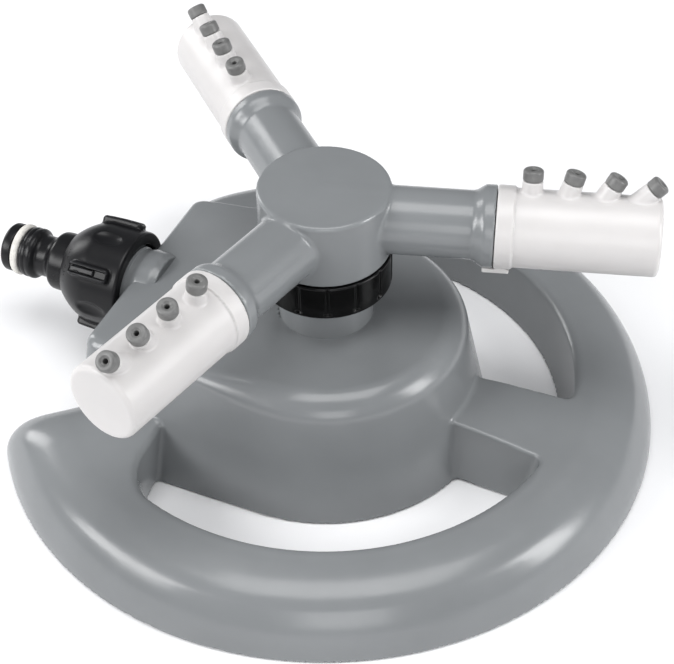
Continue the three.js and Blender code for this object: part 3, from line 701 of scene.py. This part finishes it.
# ---------------------------------------------------------------- materials
class Nodes:
    """Short names for building one material's node tree around its shader."""

    def __init__(self, name):
        self.material = bpy.data.materials.new(name)
        self.material.use_nodes = True
        self.tree = self.material.node_tree
        self.shader = self.tree.nodes["Principled BSDF"]
        self.place = self.add("ShaderNodeTexCoord").outputs["Object"]

    def add(self, kind, **settings):
        node = self.tree.nodes.new(kind)
        for key, value in settings.items():
            setattr(node, key, value)
        return node

    def link(self, source, target):
        self.tree.links.new(source, target)

    def noise(self, scale, detail=3.0, roughness=0.5):
        node = self.add("ShaderNodeTexNoise")
        node.inputs["Scale"].default_value = scale
        node.inputs["Detail"].default_value = detail
        node.inputs["Roughness"].default_value = roughness
        self.link(self.place, node.inputs["Vector"])
        return node.outputs["Fac"]

    def ramp(self, factor, stops):
        node = self.add("ShaderNodeValToRGB")
        while len(node.color_ramp.elements) < len(stops):
            node.color_ramp.elements.new(0.5)
        for element, (position, colour) in zip(node.color_ramp.elements, stops):
            element.position = position
            element.color = (*colour, 1)
        self.link(factor, node.inputs["Fac"])
        return node.outputs["Color"]

    def spread(self, factor, start, end):
        node = self.add("ShaderNodeMapRange")
        node.inputs["From Min"].default_value = 0.3
        node.inputs["From Max"].default_value = 0.7
        node.inputs["To Min"].default_value = start
        node.inputs["To Max"].default_value = end
        self.link(factor, node.inputs["Value"])
        return node.outputs["Result"]

    def blend(self, factor, first, colour):
        node = self.add("ShaderNodeMix", data_type="RGBA")
        self.link(factor, node.inputs["Factor"])
        self.link(first, node.inputs["A"])
        node.inputs["B"].default_value = (*colour, 1)
        return node.outputs["Result"]

    def bump(self, height, strength, distance, before=None):
        node = self.add("ShaderNodeBump")
        node.inputs["Strength"].default_value = strength
        node.inputs["Distance"].default_value = distance
        self.link(height, node.inputs["Height"])
        if before:
            self.link(before, node.inputs["Normal"])
        return node.outputs["Normal"]

    def edges(self):
        """1 on outer edges, 0 elsewhere."""
        geometry = self.add("ShaderNodeNewGeometry")
        return self.ramp(geometry.outputs["Pointiness"], [(0.52, (0, 0, 0)), (0.6, (1, 1, 1))])


def moulded(name, colour, worn, roughness, grain, ior=1.5, scatter=0.0):
    """Moulded plastic: cloudy colour, soft waviness of the skin, fine grain and paler edges."""
    nodes = Nodes(name)
    dark = tuple(0.94 * value for value in colour)
    light = tuple(min(1, 1.05 * value) for value in colour)
    cloud = nodes.ramp(nodes.noise(26, 4), [(0.35, dark), (0.65, light)])
    nodes.link(nodes.blend(nodes.edges(), cloud, worn), nodes.shader.inputs["Base Color"])
    nodes.link(nodes.spread(nodes.noise(45, 5, 0.6), roughness - 0.03, roughness + 0.05),
               nodes.shader.inputs["Roughness"])
    wave = nodes.bump(nodes.noise(110, 2), 0.12, 0.0006)
    nodes.link(nodes.bump(nodes.noise(2600, 2), grain, 0.00006, wave), nodes.shader.inputs["Normal"])
    nodes.shader.inputs["IOR"].default_value = ior
    nodes.shader.inputs["Subsurface Weight"].default_value = scatter
    nodes.shader.inputs["Subsurface Radius"].default_value = (0.004, 0.0038, 0.0035)
    nodes.shader.inputs["Subsurface Scale"].default_value = 1.0
    return nodes.material


def rubber(name, colour, roughness):
    """Moulded rubber: matte, with dust in the grain."""
    nodes = Nodes(name)
    dark = tuple(0.85 * value for value in colour)
    light = tuple(min(1, 1.15 * value + 0.005) for value in colour)
    nodes.link(nodes.ramp(nodes.noise(300, 4, 0.6), [(0.35, dark), (0.65, light)]),
               nodes.shader.inputs["Base Color"])
    nodes.link(nodes.spread(nodes.noise(500, 3), roughness - 0.05, roughness + 0.08),
               nodes.shader.inputs["Roughness"])
    nodes.link(nodes.bump(nodes.noise(3200, 2), 0.25, 0.0001), nodes.shader.inputs["Normal"])
    nodes.shader.inputs["IOR"].default_value = 1.5
    return nodes.material


def metal(name, colour, roughness):
    """Stainless steel with fine drawn lines."""
    nodes = Nodes(name)
    nodes.shader.inputs["Metallic"].default_value = 1
    dark = tuple(0.85 * value for value in colour)
    nodes.link(nodes.ramp(nodes.noise(400, 5, 0.7), [(0.3, dark), (0.7, colour)]),
               nodes.shader.inputs["Base Color"])
    nodes.link(nodes.spread(nodes.noise(900, 3), roughness - 0.06, roughness + 0.08),
               nodes.shader.inputs["Roughness"])
    nodes.link(nodes.bump(nodes.noise(2200, 2), 0.2, 0.00005), nodes.shader.inputs["Normal"])
    return nodes.material


GREY = moulded("grey_plastic", (0.185, 0.194, 0.2), (0.24, 0.255, 0.26), 0.22, 0.08)
WHITE = moulded("white_plastic", (0.56, 0.545, 0.54), (0.62, 0.61, 0.6), 0.33, 0.1, scatter=0.15)
BLACK = moulded("black_plastic", (0.007, 0.007, 0.008), (0.03, 0.03, 0.032), 0.3, 0.2, ior=1.33)
GLOSS_BLACK = moulded("gloss_black_plastic", (0.003, 0.003, 0.003), (0.02, 0.02, 0.022), 0.14, 0.05,
                      ior=1.25)
ACETAL = moulded("acetal", (0.8, 0.79, 0.74), (0.85, 0.84, 0.8), 0.35, 0.1)
TIP_RUBBER = rubber("nozzle_rubber", (0.13, 0.13, 0.128), 0.38)
BLACK_RUBBER = rubber("black_rubber", (0.02, 0.02, 0.02), 0.6)
WHITE_RUBBER = rubber("white_rubber", (0.66, 0.64, 0.6), 0.5)
STEEL = metal("steel", (0.62, 0.62, 0.64), 0.3)


# ---------------------------------------------------------------- build
build_base(GREY)
build_feed(GREY, STEEL)
build_hub(GREY)
build_head_fixings(GLOSS_BLACK, ACETAL, BLACK_RUBBER)
build_sleeves(WHITE, TIP_RUBBER, BLACK_RUBBER)
build_connector(BLACK, WHITE_RUBBER, BLACK_RUBBER)
# The inlet filter keeps its CAD mesh and only gets a material.
filter_mesh = frame["nodes"]["inlet_filter"].data
filter_mesh.materials.clear()
filter_mesh.materials.append(STEEL)


# ---------------------------------------------------------------- floor, light and camera
FLOOR_HALF = 3.0
FLOOR_Z = -0.0003                # just under the ring's rim
WORLD_COLOUR = (0.93, 0.96, 1.0, 1)
WORLD_STRENGTH = 0.24
LIGHT_AIM = (0, 0, 0.04)
LIGHTS = (                       # name, place, size and power
    ("key", (-0.8, -0.8, 0.62), (0.8, 0.5), 11.5),
    ("front", (0.5, -0.95, 0.45), (0.5, 0.5), 2.4),
    ("right", (0.95, 0.1, 0.45), (0.3, 0.6), 6.5),
    ("overhead", (0.05, -0.1, 1.15), (0.9, 0.6), 7.5),
    ("left", (-0.95, 0.25, 0.4), (0.25, 0.6), 3),
)
CAMERA_AT = (0.17667, -0.38359, 0.42134)
CAMERA_AZIMUTH = math.radians(24.3)
CAMERA_ELEVATION = math.radians(42.673)
CAMERA_ROLL = math.radians(-0.785)
CAMERA_LENS = 97.75


def build_floor():
    mesh = bpy.data.meshes.new("floor")
    corners = [(FLOOR_HALF * x, FLOOR_HALF * y, 0) for x, y in ((-1, -1), (1, -1), (1, 1), (-1, 1))]
    mesh.from_pydata(corners, [], [(0, 1, 2, 3)])
    floor = bpy.data.objects.new("floor", mesh)
    floor.location.z = FLOOR_Z
    bpy.context.scene.collection.objects.link(floor)
    nodes = Nodes("floor")
    nodes.link(nodes.ramp(nodes.noise(3, 2), [(0.3, (0.86, 0.86, 0.87)), (0.7, (0.88, 0.88, 0.89))]),
               nodes.shader.inputs["Base Color"])
    nodes.shader.inputs["Roughness"].default_value = 0.9
    mesh.materials.append(nodes.material)


def area_light(name, place_at, size, power):
    light = bpy.data.lights.new(name, "AREA")
    light.shape = "RECTANGLE"
    light.size, light.size_y = size
    light.energy = power
    lamp = bpy.data.objects.new(name, light)
    lamp.location = place_at
    lamp.rotation_euler = (Vector(LIGHT_AIM) - Vector(place_at)).to_track_quat("-Z", "Y").to_euler()
    bpy.context.scene.collection.objects.link(lamp)


def build_lights():
    world = bpy.data.worlds.new("studio")
    bpy.context.scene.world = world
    world.use_nodes = True
    background = world.node_tree.nodes["Background"]
    background.inputs["Color"].default_value = WORLD_COLOUR
    background.inputs["Strength"].default_value = WORLD_STRENGTH
    for light in LIGHTS:
        area_light(*light)


def build_camera():
    """A long lens from the front right, at 43 degrees above the ground."""
    right = Vector((math.cos(CAMERA_AZIMUTH), math.sin(CAMERA_AZIMUTH), 0))
    ahead = Vector((-math.sin(CAMERA_AZIMUTH), math.cos(CAMERA_AZIMUTH), 0))
    forward = ahead * math.cos(CAMERA_ELEVATION) + Vector((0, 0, -math.sin(CAMERA_ELEVATION)))
    up = ahead * math.sin(CAMERA_ELEVATION) + Vector((0, 0, math.cos(CAMERA_ELEVATION)))
    tilted_right = right * math.cos(CAMERA_ROLL) + up * math.sin(CAMERA_ROLL)
    tilted_up = up * math.cos(CAMERA_ROLL) - right * math.sin(CAMERA_ROLL)
    camera_data = bpy.data.cameras.new("camera")
    camera_data.lens = CAMERA_LENS
    camera_data.sensor_width = 36
    camera_data.clip_start = 0.01
    camera = bpy.data.objects.new("camera", camera_data)
    turn = Matrix((tilted_right, tilted_up, -forward)).transposed().to_4x4()
    camera.matrix_world = Matrix.Translation(CAMERA_AT) @ turn
    bpy.context.scene.collection.objects.link(camera)
    bpy.context.scene.camera = camera


bpy.context.scene.view_settings.view_transform = "Standard"
build_floor()
build_lights()
build_camera()
